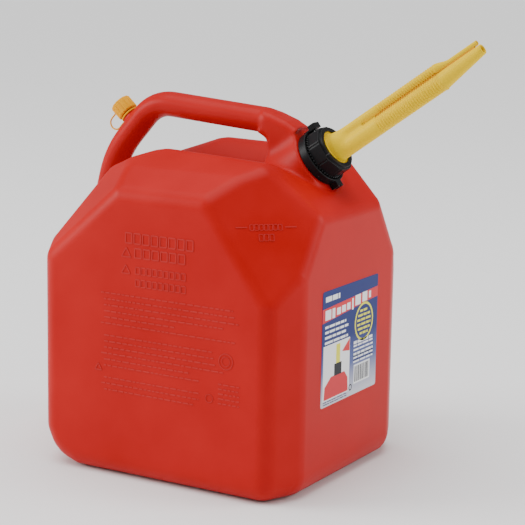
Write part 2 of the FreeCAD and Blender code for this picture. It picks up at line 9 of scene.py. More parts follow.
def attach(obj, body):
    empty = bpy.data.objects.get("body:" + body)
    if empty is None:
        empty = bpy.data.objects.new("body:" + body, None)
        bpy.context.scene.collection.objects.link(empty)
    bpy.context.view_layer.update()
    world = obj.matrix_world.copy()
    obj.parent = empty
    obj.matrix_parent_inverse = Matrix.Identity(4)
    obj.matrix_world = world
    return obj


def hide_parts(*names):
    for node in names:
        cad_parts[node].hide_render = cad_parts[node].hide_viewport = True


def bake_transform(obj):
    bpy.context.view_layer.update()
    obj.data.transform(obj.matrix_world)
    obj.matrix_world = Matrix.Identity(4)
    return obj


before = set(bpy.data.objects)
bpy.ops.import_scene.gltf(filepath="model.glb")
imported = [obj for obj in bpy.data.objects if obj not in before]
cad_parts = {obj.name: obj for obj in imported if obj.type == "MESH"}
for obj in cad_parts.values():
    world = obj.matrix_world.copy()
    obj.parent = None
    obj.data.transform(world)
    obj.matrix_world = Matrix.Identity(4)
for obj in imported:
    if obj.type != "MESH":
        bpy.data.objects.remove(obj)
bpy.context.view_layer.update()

# A blow-moulded fuel can with a yellow self-venting spout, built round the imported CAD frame.
# Shapes are worked out in millimetres and turned into metres when a mesh is made.

MM = 0.001
random.seed(7)

# ---------------------------------------------------------------- sizes of the CAD part, in millimetres

HALF_WIDTH, FRONT, REAR, EDGE = 143.0, 162.5, 166.0, 22.0
CREST_X, CREST_Z, ROOF_FALL = -38, 356, 2.6
SHOULDER_Z, EAVES_Z, EAVES_Y, CREST_Y = 316, 340, 104, 62
FRONT_FOOT, REAR_FOOT = 14, 28
FRONT_FACET = ((61, HALF_WIDTH, 317), (136, HALF_WIDTH, 217), (FRONT, 76, 284))
REAR_FACET = ((-49, HALF_WIDTH, 316), (-129, HALF_WIDTH, 246), (-138, 82, 289))
NECK = (117.7, 0.0, 347.7)
NECK_BORE, NECK_RADIUS, THREAD_LEAD = 19.6, 22.4, 6
NECK_ELEVATION = math.radians(35.3)
HANDLE = ((-146, 205), (-163, 268), (-146, 335), (-92, 396.5), (62, 385.5), (92, 327))
HANDLE_RADII = (60, 110, 46, 20)
GRIP_WIDE, GRIP_TALL = 17.0, 14.0
WEB = ((48, 373), (54, 398), (66, 396), (86, 389), (106, 378), (122, 351), (124, 321), (68, 315), (60, 367))
POUR, BREATHER = 7.0, -8.3  # how far each spout tube's axis is from the neck's
POUR_RADIUS, BREATHER_RADIUS = 9.8, 5.0
BEND_LOW, BEND_HIGH, BELLOWS_TOP = 88, 169, 171.0
LABEL_SIZE, LABEL_TOP = 127.0, 218.0


def axis_frame(origin, up):
    """A matrix whose Z is a direction in the can's mid-plane and whose Y is the can's Y."""
    z = Vector(up).normalized()
    y = Vector((0, 1, 0))
    x = y.cross(z)
    matrix = Matrix((x, y, z)).transposed().to_4x4()
    matrix.translation = Vector(origin)
    return matrix


def closure_frame():
    return axis_frame(NECK, (math.cos(NECK_ELEVATION), 0, math.sin(NECK_ELEVATION)))


def vent_frame():
    knee, rear = Vector((HANDLE[2][0], 0, HANDLE[2][1])), Vector((HANDLE[3][0], 0, HANDLE[3][1]))
    along = (rear - knee).normalized()
    outward = Vector((-along.z, 0, along.x))
    return axis_frame(knee + along * 45 + outward * 14, outward)


CLOSURE, VENT = closure_frame(), vent_frame()

# ---------------------------------------------------------------- materials


def material(name, colour, roughness, grain=900.0, grain_depth=0.00006, mottle=0.05, edge_wear_and_highlight=0.1, specular=0.12):
    """Moulded plastic: slow colour mottling, fine moulded grain, and convex edges drawn paler and pinker,
    partly edge wear and partly a painted highlight along the ridges.
    """
    mat = bpy.data.materials.new(name)
    mat.use_nodes = True
    nodes, links = mat.node_tree.nodes, mat.node_tree.links
    shader = nodes["Principled BSDF"]
    place = nodes.new("ShaderNodeTexCoord")
    slow = nodes.new("ShaderNodeTexNoise")
    slow.inputs["Scale"].default_value = 14.0
    slow.inputs["Detail"].default_value = 4.0
    links.new(place.outputs["Object"], slow.inputs["Vector"])
    tint = nodes.new("ShaderNodeValToRGB")
    tint.color_ramp.elements[0].position = 0.3
    tint.color_ramp.elements[1].position = 0.7
    dark = [channel * (1 - mottle) for channel in colour]
    pale = [min(1, channel * (1 + mottle) + 0.004) for channel in colour]
    tint.color_ramp.elements[0].color = (*dark, 1)
    tint.color_ramp.elements[1].color = (*pale, 1)
    links.new(slow.outputs["Fac"], tint.inputs["Fac"])
    # Pointiness picks out convex edges; mixing them towards a paler colour gives partly edge wear and partly
    # a painted highlight along ridges and rims.
    shape = nodes.new("ShaderNodeNewGeometry")
    edge = nodes.new("ShaderNodeMapRange")
    edge.inputs["From Min"].default_value = 0.52
    edge.inputs["From Max"].default_value = 0.62
    edge.inputs["To Max"].default_value = edge_wear_and_highlight
    links.new(shape.outputs["Pointiness"], edge.inputs["Value"])
    worn_and_highlit = nodes.new("ShaderNodeMixRGB")
    worn_and_highlit.inputs["Color2"].default_value = (*[min(1, channel * 0.8 + 0.25) for channel in colour], 1)
    links.new(edge.outputs["Result"], worn_and_highlit.inputs["Fac"])
    links.new(tint.outputs["Color"], worn_and_highlit.inputs["Color1"])
    links.new(worn_and_highlit.outputs["Color"], shader.inputs["Base Color"])
    fine = nodes.new("ShaderNodeTexNoise")
    fine.inputs["Scale"].default_value = grain
    fine.inputs["Detail"].default_value = 3.0
    links.new(place.outputs["Object"], fine.inputs["Vector"])
    rough = nodes.new("ShaderNodeMapRange")
    rough.inputs["To Min"].default_value = roughness - 0.05
    rough.inputs["To Max"].default_value = roughness + 0.05
    links.new(slow.outputs["Fac"], rough.inputs["Value"])
    links.new(rough.outputs["Result"], shader.inputs["Roughness"])
    bump = nodes.new("ShaderNodeBump")
    bump.inputs["Strength"].default_value = 0.6
    bump.inputs["Distance"].default_value = grain_depth
    links.new(fine.outputs["Fac"], bump.inputs["Height"])
    links.new(bump.outputs["Normal"], shader.inputs["Normal"])
    shader.inputs["Specular IOR Level"].default_value = specular
    return mat


RED = material("red_polyethylene", (0.46, 0.004, 0.003), 0.40, grain=700, grain_depth=0.00008, edge_wear_and_highlight=0.08)
YELLOW = material("yellow_polyethylene", (0.84, 0.56, 0.0), 0.34, grain_depth=0.00002, mottle=0.04, edge_wear_and_highlight=0.03,
                  specular=0.06)
# A copy of the yellow plastic drawn darker and oranger, a painted shade: it colours the web in the groove
# between the spout tubes, and the vent cap, its tether and its ring.
SHADED_YELLOW = material("yellow_polyethylene_painted_shade", (0.84, 0.38, 0.0), 0.36, grain_depth=0.00002, mottle=0.04, edge_wear_and_highlight=0.03,
                 specular=0.06)
BLACK = material("black_plastic", (0.006, 0.006, 0.007), 0.36, mottle=0.12, edge_wear_and_highlight=0.25)
RUBBER = material("seal_rubber", (0.03, 0.03, 0.032), 0.7, mottle=0.1, edge_wear_and_highlight=0.05)
WHITE_INK = material("white_ink", (0.82, 0.83, 0.85), 0.4, grain_depth=0.00001, edge_wear_and_highlight=0.0)
RED_INK = material("red_ink", (0.62, 0.03, 0.04), 0.4, grain_depth=0.00001, edge_wear_and_highlight=0.0)
YELLOW_INK = material("yellow_ink", (0.75, 0.72, 0.05), 0.4, grain_depth=0.00001, edge_wear_and_highlight=0.0)
BLACK_INK = material("black_ink", (0.02, 0.02, 0.025), 0.4, grain_depth=0.00001, edge_wear_and_highlight=0.0)
NAVY_INK = material("navy_ink", (0.012, 0.022, 0.13), 0.4, grain_depth=0.00001, edge_wear_and_highlight=0.0)


def label_material():
    """Printed film: navy at the top, fading to pale grey towards the bottom edge."""
    mat = material("label_print", (0.02, 0.03, 0.2), 0.35, grain_depth=0.00001, edge_wear_and_highlight=0.0)
    nodes, links = mat.node_tree.nodes, mat.node_tree.links
    place = nodes.new("ShaderNodeTexCoord")
    split = nodes.new("ShaderNodeSeparateXYZ")
    links.new(place.outputs["Object"], split.inputs["Vector"])
    level = nodes.new("ShaderNodeMapRange")
    level.inputs["From Min"].default_value = (LABEL_TOP - LABEL_SIZE) * MM
    level.inputs["From Max"].default_value = LABEL_TOP * MM
    links.new(split.outputs["Z"], level.inputs["Value"])
    fade = nodes.new("ShaderNodeValToRGB")
    fade.color_ramp.elements[0].position = 0.02
    fade.color_ramp.elements[0].color = (0.62, 0.63, 0.70, 1)
    fade.color_ramp.elements[1].position = 0.55
    fade.color_ramp.elements[1].color = (0.014, 0.026, 0.16, 1)
    middle = fade.color_ramp.elements.new(0.3)
    middle.color = (0.10, 0.13, 0.34, 1)
    links.new(level.outputs["Result"], fade.inputs["Fac"])
    speck = nodes.new("ShaderNodeTexNoise")
    speck.inputs["Scale"].default_value = 260.0
    links.new(place.outputs["Object"], speck.inputs["Vector"])
    print_grain = nodes.new("ShaderNodeMixRGB")
    print_grain.blend_type = "MULTIPLY"
    print_grain.inputs["Fac"].default_value = 0.15
    links.new(fade.outputs["Color"], print_grain.inputs["Color1"])
    links.new(speck.outputs["Color"], print_grain.inputs["Color2"])
    links.new(print_grain.outputs["Color"], nodes["Principled BSDF"].inputs["Base Color"])
    return mat


# ---------------------------------------------------------------- mesh helpers


def make_piece(name, points, faces, mat, body, place=None, smooth=True):
    """A mesh object from points in millimetres, riding on a CAD body."""
    mesh = bpy.data.meshes.new(name)
    mesh.from_pydata([tuple(p) for p in np.asarray(points, float) * MM], [], [tuple(f) for f in faces])
    if place is not None:
        shift = place.copy()
        shift.translation = place.translation * MM
        mesh.transform(shift)
    mesh.materials.append(mat)
    mesh.polygons.foreach_set("use_smooth", [smooth] * len(mesh.polygons))
    mesh.update()
    piece = bpy.data.objects.new(name, mesh)
    bpy.context.scene.collection.objects.link(piece)
    if body:
        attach(piece, body)
    return piece


def rounded_outline(corners, radius, steps=4):
    """Rounds the corners of a closed outline, each by no more than its two runs allow."""
    points = [Vector(c) for c in corners]
    result = []
    count = len(points)
    for index, corner in enumerate(points):
        before, after = points[index - 1], points[(index + 1) % count]
        inward, outward = (before - corner), (after - corner)
        reach = min(radius, inward.length * 0.45, outward.length * 0.45)
        start, end = corner + inward.normalized() * reach, corner + outward.normalized() * reach
        for step in range(steps + 1):
            t = step / steps
            result.append(tuple(start * (1 - t) ** 2 + corner * 2 * t * (1 - t) + end * t ** 2))
    return result


def lathe(outline, sections=96, shape=None, centre=0.0):
    """Turns a closed outline of (radius, level) about Z. shape(radius, level, angle) may vary the radius."""
    points, faces = [], []
    count = len(outline)
    for section in range(sections):
        angle = 2 * math.pi * section / sections
        for radius, level in outline:
            reach = shape(radius, level, angle) if shape else radius
            points.append((centre + reach * math.cos(angle), reach * math.sin(angle), level))
    for section in range(sections):
        following = (section + 1) % sections
        for index in range(count):
            after = (index + 1) % count
            faces.append((section * count + index, following * count + index,
                          following * count + after, section * count + after))
    return points, faces


def smooth_union(a, b, width):
    """The nearer of two distances, with a fillet of about the given width where they meet."""
    overlap = np.maximum(width - np.abs(a - b), 0) / width
    return np.minimum(a, b) - overlap * overlap * width * 0.25


def smooth_cut(a, b, width):
    return -smooth_union(-a, b, width)


def surface_of(field, low, high, step):
    """Quads of the surface where a field of points is zero, one vertex in each cell that it crosses."""
    low = np.array(low, float)
    counts = [int(math.ceil((b - a) / step)) + 1 for a, b in zip(low, high)]
    index_grid = np.indices(counts).reshape(3, -1).T
    values = field(low + step * index_grid).reshape(counts)
    inside = values < 0
    total = np.zeros([n - 1 for n in counts] + [3])
    hits = np.zeros([n - 1 for n in counts], int)
    rings = []
    for axis in range(3):
        near, far = [slice(None)] * 3, [slice(None)] * 3
        near[axis], far[axis] = slice(0, -1), slice(1, None)
        near, far = tuple(near), tuple(far)
        crossed = inside[near] != inside[far]
        start = np.argwhere(crossed)
        share = values[near][crossed] / (values[near][crossed] - values[far][crossed])
        spot = low + step * start
        spot[:, axis] += step * share
        first, second = (axis + 1) % 3, (axis + 2) % 3
        cells = []
        for shift_first, shift_second in ((0, 0), (-1, 0), (-1, -1), (0, -1)):
            cell = start.copy()
            cell[:, first] += shift_first
            cell[:, second] += shift_second
            np.add.at(total, tuple(cell.T), spot)
            np.add.at(hits, tuple(cell.T), 1)
            cells.append(cell)
        rings.append((cells, inside[near][crossed]))
    used = hits > 0
    number = -np.ones(hits.shape, int)
    number[used] = np.arange(used.sum())
    points = total[used] / hits[used][:, None]
    faces = []
    for cells, outward in rings:
        quads = np.stack([number[tuple(cell.T)] for cell in cells], 1)
        quads[~outward] = quads[~outward][:, ::-1]
        faces.append(quads)
    return points, np.concatenate(faces)


def vertex_normals(points, faces):
    diagonal_a = points[faces[:, 2]] - points[faces[:, 0]]
    diagonal_b = points[faces[:, 3]] - points[faces[:, 1]]
    face_normal = np.cross(diagonal_a, diagonal_b)
    normals = np.zeros_like(points)
    for corner in range(4):
        np.add.at(normals, faces[:, corner], face_normal)
    return normals / np.maximum(np.linalg.norm(normals, axis=1), 1e-9)[:, None]


def subdivided(points, faces):
    """Each quad into four."""
    ends = np.sort(np.concatenate([faces[:, [a, (a + 1) % 4]] for a in range(4)]), axis=1)
    edges, edge_of = np.unique(ends, axis=0, return_inverse=True)
    edge_of = edge_of.reshape(4, len(faces)).T + len(points)
    centre_of = np.arange(len(faces)) + len(points) + len(edges)
    middles = points[edges].mean(1)
    centres = points[faces].mean(1)
    quads = [np.stack([faces[:, a], edge_of[:, a], centre_of, edge_of[:, a - 1]], 1) for a in range(4)]
    return np.concatenate([points, middles, centres]), np.concatenate(quads)


def settled(points, faces, field, rounds=3):
    """Moves vertices along their normals onto the surface of a field."""
    for _ in range(rounds):
        normals = vertex_normals(points, faces)
        points = points - np.clip(field(points), -3, 3)[:, None] * normals * 0.9
    return points


# ---------------------------------------------------------------- the tank skin


def foot_walls(wall, corner, height):
    """The 45 degree flat between a wall and the base, with the ridges above and below it taken off."""
    bevel = (wall - Vector((0, 0, 1))).normalized()
    upper, lower = corner + Vector((0, 0, height)), corner - wall * height
    walls = [(bevel, upper)]
    for neighbour, ridge in ((wall, upper), (Vector((0, 0, -1)), lower)):
        between = (neighbour + bevel).normalized()
        walls.append((between, ridge - between * height * 0.16))
    return walls


def tank_walls():
    """Outward normals and offsets of the tank's flat walls."""
    def slope(angle, across=0.0):
        return (math.sin(math.radians(angle)), across, math.cos(math.radians(angle)))

    hw = HALF_WIDTH
    crest = (CREST_X, 0, CREST_Z)
    walls = [((0, 0, -1), (0, 0, 0)), ((1, 0, 0), (FRONT, 0, 0)), ((-1, 0, 0), (-REAR, 0, 0)),
             (slope(ROOF_FALL), crest), (slope(-21), crest), (slope(-60), (-REAR, 0, 231)),
             (slope(40), (FRONT, 0, 298))]
    walls += foot_walls(Vector((-1, 0, 0)), Vector((-REAR, 0, 0)), REAR_FOOT)
    walls += foot_walls(Vector((1, 0, 0)), Vector((FRONT, 0, 0)), FRONT_FOOT)
    for side in (-1, 1):
        shoulder = math.atan2(EAVES_Z - SHOULDER_Z, hw - EAVES_Y)
        roof = math.atan2(CREST_Z - EAVES_Z, EAVES_Y - CREST_Y)
        walls += [((0, side, 0), (0, side * hw, 0)),
                  ((0, side * math.sin(shoulder), math.cos(shoulder)), (0, side * hw, SHOULDER_Z)),
                  ((0, side * math.sin(roof), math.cos(roof)), (0, side * EAVES_Y, EAVES_Z))]
        for end, along, across, foot, reach in ((1, 19.5, 43, FRONT_FOOT, FRONT),
                                                (-1, 24, 52, REAR_FOOT, REAR)):
            upright = Vector((end * across, side * along, 0)).normalized()
            corner = Vector((end * reach, side * (hw - across), 0))
            walls.append((upright, corner))
            walls += foot_walls(upright, corner, foot)
        for facet in (FRONT_FACET, REAR_FACET):
            a, b, c = [Vector((x, side * y, z)) for x, y, z in facet]
            normal = (b - a).cross(c - a)
            walls.append((normal if normal.z > 0 else -normal, a))
    normals = np.array([Vector(n).normalized() for n, _ in walls])
    offsets = np.array([n @ np.array(p, float) for n, (_, p) in zip(normals, walls)])
    return normals, offsets


WALL_NORMALS, WALL_OFFSETS = tank_walls()


def body_field(points):
    """Distance from the tank's body, whose walls are flat and whose edges have one radius."""
    core = WALL_OFFSETS - EDGE
    worst = (points @ WALL_NORMALS.T - core).max(1)
    distance = worst.copy()
    near = (worst > 0) & (worst < EDGE + 26)
    spots = points[near].astype(np.float32)
    moved = spots.copy()
    pull = [np.zeros(len(spots), np.float32) for _ in core]
    for _ in range(9):
        for index, (normal, offset) in enumerate(zip(WALL_NORMALS.astype(np.float32), core)):
            reach = np.maximum(moved @ normal + pull[index] - np.float32(offset), 0)
            moved += (pull[index] - reach)[:, None] * normal
            pull[index] = reach
    distance[near] = np.linalg.norm(spots - moved, axis=1)
    return distance - EDGE


def handle_line():
    """The handle's centre line in the mid-plane, its corners rounded."""
    line = [Vector(HANDLE[0])]
    for before, corner, after, radius in zip(HANDLE, HANDLE[1:], HANDLE[2:], HANDLE_RADII):
        corner = Vector(corner)
        inward, outward = (Vector(before) - corner).normalized(), (Vector(after) - corner).normalized()
        half = inward.angle(outward) / 2
        back = radius / math.tan(half)
        centre = corner + (inward + outward).normalized() * (radius / math.sin(half))
        start, end = corner + inward * back - centre, corner + outward * back - centre
        turn = start.angle_signed(end)
        for step in range(9):
            angle = -turn * step / 8
            line.append(centre + Matrix.Rotation(angle, 2) @ start)
    line.append(Vector(HANDLE[-1]))
    return np.array([tuple(p) for p in line])


def segment_distance(flat, a, b):
    run = b - a
    share = np.clip(((flat - a) @ run) / (run @ run), 0, 1)
    return np.linalg.norm(flat - a - share[:, None] * run, axis=1)


def handle_field(points):
    """Distance from an oval tube round the handle's line."""
    flat = points[:, [0, 2]]
    line = handle_line()
    off = np.full(len(points), 1e9)
    for a, b in zip(line, line[1:]):
        off = np.minimum(off, segment_distance(flat, a, b))
    across = np.abs(points[:, 1])
    ratio = np.sqrt((across / GRIP_WIDE) ** 2 + (off / GRIP_TALL) ** 2)
    slope = np.sqrt((across / GRIP_WIDE ** 2) ** 2 + (off / GRIP_TALL ** 2) ** 2)
    return ratio * (ratio - 1) / np.maximum(slope, 1e-6)


def outline_field(flat, outline):
    """Signed distance from a polygon in the mid-plane."""
    corners = np.array(outline, float)
    distance = np.full(len(flat), 1e9)
    inside = np.zeros(len(flat), bool)
    for a, b in zip(corners, np.roll(corners, -1, 0)):
        distance = np.minimum(distance, segment_distance(flat, a, b))
        straddles = (a[1] > flat[:, 1]) != (b[1] > flat[:, 1])
        if a[1] != b[1]:
            crossing = a[0] + (flat[:, 1] - a[1]) * (b[0] - a[0]) / (b[1] - a[1])
            inside ^= straddles & (flat[:, 0] < crossing)
    return np.where(inside, -distance, distance)


def block_field(points, outline, half, radius):
    """Distance from an outline in the mid-plane, extruded both ways, with rounded edges."""
    flat = outline_field(points[:, [0, 2]], outline) + radius
    across = np.abs(points[:, 1]) - half + radius
    outside = np.hypot(np.maximum(flat, 0), np.maximum(across, 0))
    return outside + np.minimum(np.maximum(flat, across), 0) - radius


def about_axis(points, place):
    """Radius and level of points about a local axis."""
    back = np.array(place.inverted())
    turned = points @ back[:3, :3].T + back[:3, 3]
    return np.hypot(turned[:, 0], turned[:, 1]), turned[:, 2]


def column_field(points, place, radius, low, high, edge=1.5):
    reach, level = about_axis(points, place)
    across = reach - radius + edge
    along = np.abs(level - (low + high) / 2) - (high - low) / 2 + edge
    outside = np.hypot(np.maximum(across, 0), np.maximum(along, 0))
    return outside + np.minimum(np.maximum(across, along), 0) - edge


def skin_field(points):
    """The tank's outer skin: body, trough under the handle, handle, column and seats for neck and vent."""
    points = np.asarray(points, float)
    body = body_field(points)
    depth, half = 22.0, 52.0
    radius = (half * half + depth * depth) / (2 * depth)
    fall = math.radians(ROOF_FALL)
    axis_level = CREST_Z - depth + radius - (points[:, 0] - CREST_X) * math.tan(fall)
    valley = np.hypot(points[:, 1], (points[:, 2] - axis_level) * math.cos(fall)) - radius
    body = smooth_cut(body, valley, 16)
    handle = smooth_union(handle_field(points), block_field(points, WEB, 19, 9) + 0.8, 3)
    skin = smooth_union(body, handle, 24)
    skin = smooth_union(skin, column_field(points, CLOSURE, 33.4, -45, 0), 10)
    seat = column_field(points, CLOSURE, 38.5, 0, 112, edge=0.5)
    skin = smooth_cut(skin, seat, 2)
    return smooth_union(skin, column_field(points, VENT, 10.5, -6, 0.8, 0.5), 2)


def make_tank_skin():
    points, faces = surface_of(skin_field, (-184, -151, -8), (172, 153, 422), 4.0)
    points, faces = subdivided(points, faces)
    points = settled(points, faces, skin_field)
    reach, level = about_axis(points, CLOSURE)
    hole = (reach < 18.6) & (np.abs(level) < 4)
    faces = faces[~hole[faces].any(1)]
    used = np.unique(faces)
    number = -np.ones(len(points), int)
    number[used] = np.arange(len(used))
    return make_piece("tank_skin", points[used], number[faces], RED, "can")


def make_neck():
    """The neck tube that the closure screws onto, with its thread."""
    bore, outer, root = NECK_BORE, NECK_RADIUS, 22.2
    outline = rounded_outline([(bore, 21), (bore, -24), (outer, -24), (outer, 19.5), (21, 21)], 0.7)
    points, faces = lathe(outline, 96)
    make_piece("tank_neck", points, faces, RED, "can", CLOSURE)
    first_level, thread_height, per_turn = 7, 11.0, 72
    turns = thread_height / THREAD_LEAD
    profile = ((root, -1.5), (23.3, -0.7), (23.5, 0), (23.3, 0.7), (root, 1.5))
    ridge, quads = [], []
    steps = int(turns * per_turn)
    for step in range(steps + 1):
        angle = 2 * math.pi * step / per_turn
        fade = min(1, step / 8, (steps - step) / 8)
        for radius, level in profile:
            reach = root + (radius - root) * fade
            height = first_level + THREAD_LEAD * step / per_turn + level * fade
            ridge.append((reach * math.cos(angle), reach * math.sin(angle), height))
    width = len(profile)
    for step in range(steps):
        for index in range(width - 1):
            a = step * width + index
            quads.append((a, a + width, a + width + 1, a + 1))
        quads.append((step * width, step * width + width - 1, (step + 2) * width - 1, (step + 1) * width))
    make_piece("tank_neck_thread", ridge, quads, RED, "can", CLOSURE)


def make_nipple():
    """The vent nipple that the cap pushes onto, with its bore closed below the rim."""
    outline = rounded_outline([(0.01, 2), (3.5, 2), (3.5, 15.7), (7, 15.7), (7, -5), (0.01, -5)], 0.6)
    points, faces = lathe(outline, 64)
    make_piece("tank_vent_nipple", points, faces, RED, "can", VENT)


# ---------------------------------------------------------------- closure


def make_collar():
    """The screw collar: a toothed skirt, eight flats with grooved corners and a smaller end ring."""
    bore, outer, end_ring, skirt_top, teeth = 24, 26.6, 24.4, 10.3, 48
    outline = [(bore, 3.5), (outer, 3.5), (outer, 10), (outer, 10.6), (outer, 24), (outer, 25),
               (end_ring, 25.2), (end_ring, 28), (19.7, 28), (19.7, 25.7), (bore, 25.7)]
    outline = rounded_outline(outline, 0.5, 3)
    half_side = math.pi / 8

    def shape(radius, level, angle):
        if radius < 25.9:
            return radius
        if level < skirt_top:
            tooth = 0.5 + 0.5 * math.cos(teeth * angle)
            return radius - 0.2 + 1.7 * min(1, max(0, tooth * 1.8 - 0.4))
        off = (angle + half_side) % (2 * half_side) - half_side
        flat = min(26.45 / math.cos(off), 27.7)
        corner = half_side - abs(off)
        groove = 0.8 * math.exp(-(corner / 0.022) ** 2)
        taper = (level - skirt_top) / 15 * 0.4
        return radius - outer + flat - groove - taper

    points, faces = lathe(outline, 12 * teeth, shape)
    collar = make_piece("collar", points, faces, BLACK, "collar", CLOSURE)
    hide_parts("screw_collar")


def softened(node, body, mat, voxel):
    """A copy of a CAD node with its sharp edges softened as a mould leaves them."""
    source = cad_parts[node]
    piece = bpy.data.objects.new(node + "_moulded", source.data.copy())
    bpy.context.scene.collection.objects.link(piece)
    remesh = piece.modifiers.new("remesh", "REMESH")
    remesh.mode = "VOXEL"
    remesh.voxel_size = voxel * MM
    smooth = piece.modifiers.new("smooth", "SMOOTH")
    smooth.factor = 0.5
    smooth.iterations = 4
    graph = bpy.context.evaluated_depsgraph_get()
    mesh = bpy.data.meshes.new_from_object(piece.evaluated_get(graph))
    piece.modifiers.clear()
    piece.data = mesh
    mesh.materials.clear()
    mesh.materials.append(mat)
    mesh.polygons.foreach_set("use_smooth", [True] * len(mesh.polygons))
    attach(piece, body)
    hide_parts(node)


# ---------------------------------------------------------------- spout


def spout_base_field(points):
    """The spout's foot: two tubes that grow out of an oval foot, two ribs and a flange."""
    x, y, z = points[:, 0], points[:, 1], points[:, 2]

    def tube(offset, radius, low, high):
        across = np.hypot(x - offset, y) - radius
        along = np.abs(z - (low + high) / 2) - (high - low) / 2
        outside = np.hypot(np.maximum(across, 0), np.maximum(along, 0))
        return outside + np.minimum(np.maximum(across, along), 0)

    taper = np.interp(z, (25, 31, 38, 52), (0, 0.08, 0.42, 1))
    long_half, wide_half = 15.3 - 5.5 * taper, 13.4 - 9.0 * taper
    ratio = np.sqrt((x / long_half) ** 2 + (y / wide_half) ** 2)
    slope = np.sqrt((x / long_half ** 2) ** 2 + (y / wide_half ** 2) ** 2)
    foot = ratio * (ratio - 1) / np.maximum(slope, 1e-6)
    foot = np.maximum(foot, np.maximum(24.5 - z, z - 68))
    outer = smooth_union(tube(POUR, POUR_RADIUS, 24, 86), tube(BREATHER, BREATHER_RADIUS, 24, 93), 2.5)
    outer = smooth_union(outer, foot, 3)
    for side in (-1, 1):
        rib = np.hypot(x - 12.6 + 0.055 * (z - 25), y - side * 5.2) - 1.3
        outer = smooth_union(outer, np.maximum(rib, np.maximum(25 - z, z - 52)), 1.2)
    outer = smooth_union(outer, tube(0, 22.9, 23, 25.5), 1.5)
    wall = 1.4
    outer = smooth_cut(outer, tube(POUR, POUR_RADIUS - wall, 15, 95), 0.4)
    return smooth_cut(outer, tube(BREATHER, BREATHER_RADIUS - wall, 15, 100), 0.4)


def make_spout_base():
    points, faces = surface_of(spout_base_field, (-25, -25, 20), (25, 25, 96), 0.9)
    points = settled(points, faces, spout_base_field)
    base = make_piece("spout_foot", points, faces, YELLOW, "spout", CLOSURE)
    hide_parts("spout_base")


def bend_with_spout(piece):
    """Bakes a piece's placement into its mesh."""
    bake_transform(piece)


def make_bellows(name, node, radius, offset, low):
    """A corrugated tube with its placement baked into the mesh."""
    top, depth = BELLOWS_TOP, 1.1
    count = round((top - low) / 3.1)
    pitch = (top - low) / count
    bore = radius - depth - 1.0
    outline = [(bore, low - 0.5), (radius - 0.1, low - 0.5)]
    for ring in range(count * 8 + 1):
        level = low + pitch * ring / 8
        wave = 0.5 - 0.5 * math.cos(2 * math.pi * ring / 8)
        outline.append((radius - depth * wave ** 1.6, level))
    outline += [(radius - 0.1, top + 0.4), (bore, top + 0.4)]
    for ring in range(1, count):
        outline.append((bore, top + 0.4 - ring * (top - low) / count))
    points, faces = lathe(outline, 64, centre=offset)
    piece = make_piece(name, points, faces, YELLOW, None, CLOSURE)
    bend_with_spout(piece)
    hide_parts(node)


def swept_tube(stations, wall, sections=64):
    """A tube through rings of (level, radius, offset), with rounded ends and a bore."""
    outer = [(level, radius, offset) for level, radius, offset in stations]
    inner = [(level, radius - wall, offset) for level, radius, offset in reversed(stations)]
    last = stations[-1]
    tip = [(last[0] + 0.35, last[1] - wall * 0.3, last[2]), (last[0] + 0.35, last[1] - wall * 0.7, last[2])]
    rings = outer + tip + inner
    points, faces = [], []
    for level, radius, offset in rings:
        for section in range(sections):
            angle = 2 * math.pi * section / sections
            points.append((offset + radius * math.cos(angle), radius * math.sin(angle), level))
    for ring in range(len(rings)):
        following = (ring + 1) % len(rings)
        for section in range(sections):
            after = (section + 1) % sections
            faces.append((ring * sections + section, ring * sections + after,
                          following * sections + after, following * sections + section))
    return points, faces


def make_nozzle():
    """The tapering end of the pour tube, straight on its breather side, with a small half lip."""
    stations, tip_radius, length = [], 5.6, 56.6
    for step in range(13):
        share = step / 12
        radius = POUR_RADIUS + (tip_radius - POUR_RADIUS) * share
        stations.append((BELLOWS_TOP + length * share, radius, POUR - (POUR_RADIUS - radius)))
    points, faces = swept_tube(stations, 1.4)
    nozzle = make_piece("nozzle", points, faces, YELLOW, "spout_end", CLOSURE)
    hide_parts("pour_nozzle")
    rim, quads, steps, inner = [], [], 40, 9.3
    profile = ((inner, 171.1), (10.15, 171.1), (10.15, 172.6), (9.75, 173.4), (9.2, 173.4))
    for step in range(steps + 1):
        angle = math.radians(-100 + 200 * step / steps)
        fade = min(1, step / 5, (steps - step) / 5)
        for radius, level in profile:
            reach = inner + (radius - inner) * fade
            rim.append((POUR + reach * math.cos(angle), reach * math.sin(angle), level))
    width = len(profile)
    for step in range(steps):
        for index in range(width):
            a, b = step * width + index, step * width + (index + 1) % width
            quads.append((a, a + width, b + width, b))
    make_piece("nozzle_lip", rim, quads, YELLOW, "spout_end", CLOSURE)


def make_web(name, low, high, body=None):
    """The thin web that joins the two tubes along the groove between them. Without a body its placement is
    baked into the mesh.
    """
    points, faces, steps = [], [], 28
    left, right, half = -4.0, -2.1, 1.7
    corners = ((left, -half), (right, -half), (right, half), (left, half))
    for step in range(steps + 1):
        points += [(x, y, low + (high - low) * step / steps) for x, y in corners]
    for step in range(steps):
        for index in range(4):
            a, b = step * 4 + index, step * 4 + (index + 1) % 4
            faces.append((a, b, b + 4, a + 4))
    faces += [(3, 2, 1, 0), tuple(steps * 4 + index for index in range(4))]
    # The web takes the shaded yellow: its orange is a painted shade for the groove between the tubes.
    web = make_piece(name, points, faces, SHADED_YELLOW, body, CLOSURE, smooth=False)
    if body is None:
        bend_with_spout(web)


